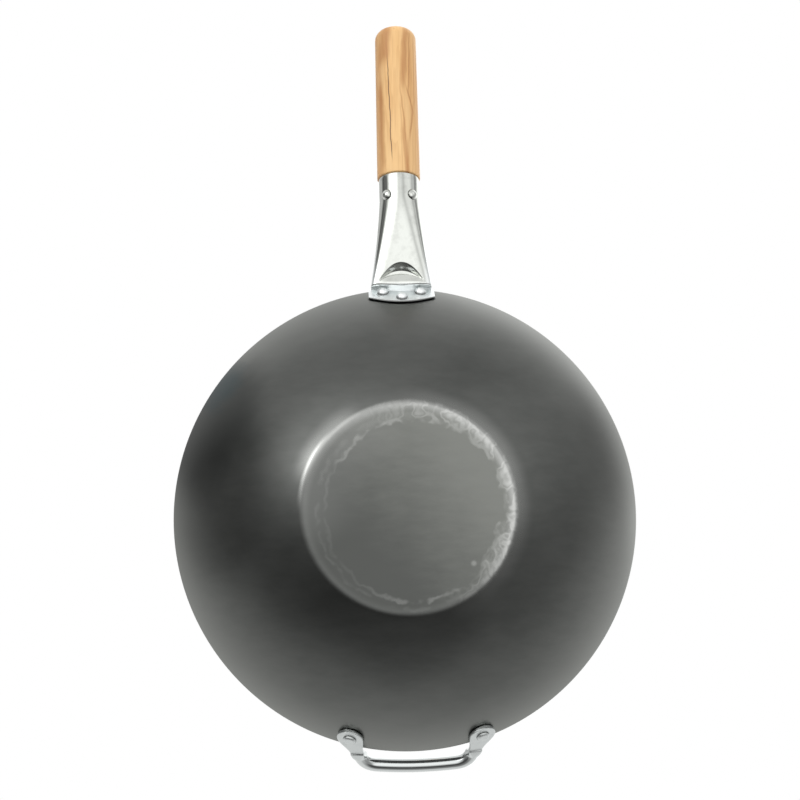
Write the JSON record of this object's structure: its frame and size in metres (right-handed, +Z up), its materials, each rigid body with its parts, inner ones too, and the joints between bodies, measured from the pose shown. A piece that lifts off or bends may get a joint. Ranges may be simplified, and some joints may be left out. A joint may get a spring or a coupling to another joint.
{
  "type": "wok",
  "caption": "Flat-bottomed wok with a plain rim, a long wooden grip pinned in a riveted polished steel socket, and a riveted steel loop as helper handle opposite",
  "frame": {"origin": "centre of the underside of the flat base", "axes": "+X from the centre towards the long handle, +Y to the left of the handle seen from above, +Z up through the open top"},
  "size_m": [0.5915, 0.3556, 0.1502],
  "materials": {
    "bowl_steel": "dark satin, worn bright round the edge of the base, with a darker coating inside",
    "polished_steel": "polished",
    "grip_wood": "oiled, satin, with long brown grain streaks"
  },
  "bodies": {
    "root": {"wok_body": "bowl_steel", "handle_socket": "polished_steel", "helper_handle": "polished_steel", "wooden_grip": "grip_wood", "socket_rivet_left": "polished_steel", "socket_rivet_right": "polished_steel", "socket_rivet_lower": "polished_steel", "grip_pin_left": "polished_steel", "grip_pin_right": "polished_steel", "helper_rivet_left": "polished_steel", "helper_rivet_right": "polished_steel"}
  },
  "joints": []
}
